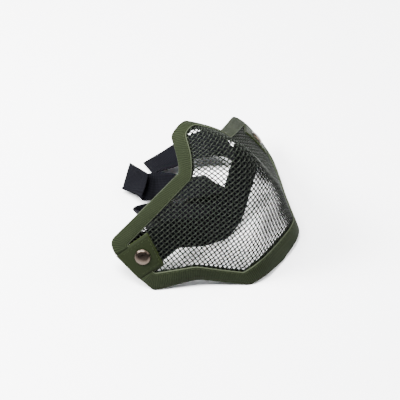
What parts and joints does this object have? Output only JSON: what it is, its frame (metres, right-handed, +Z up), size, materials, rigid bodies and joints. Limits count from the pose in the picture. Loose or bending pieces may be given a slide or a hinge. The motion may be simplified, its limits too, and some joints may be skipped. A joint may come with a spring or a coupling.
{
  "type": "lower-face mesh mask for sport",
  "caption": "Lower-face guard of pressed steel mesh with a nose ridge, cloth-taped edges, riveted ear tabs and elastic head straps.",
  "frame": {"origin": "on the standing surface, under the middle of the part's box", "axes": "+Z up from the surface that the mask stands on, front of the mask towards -Y, wearer's left at +X"},
  "size_m": [0.1644, 0.1468, 0.0956],
  "materials": {
    "mesh": "grey-green painted steel wire, woven",
    "tape": "ribbed olive binding tape",
    "tab": "smooth olive-green coated cloth",
    "rivet": "dark nickel domed rivet",
    "strap": "black woven elastic"
  },
  "bodies": {
    "root": {"mesh_shell": "mesh", "top_binding": "tape", "bottom_binding": "tape", "ear_tab_right": "tab", "ear_tab_left": "tab", "rivet_right": "rivet", "rivet_left": "rivet", "head_strap": "strap", "strap_right": "strap", "strap_left": "strap"}
  },
  "joints": []
}
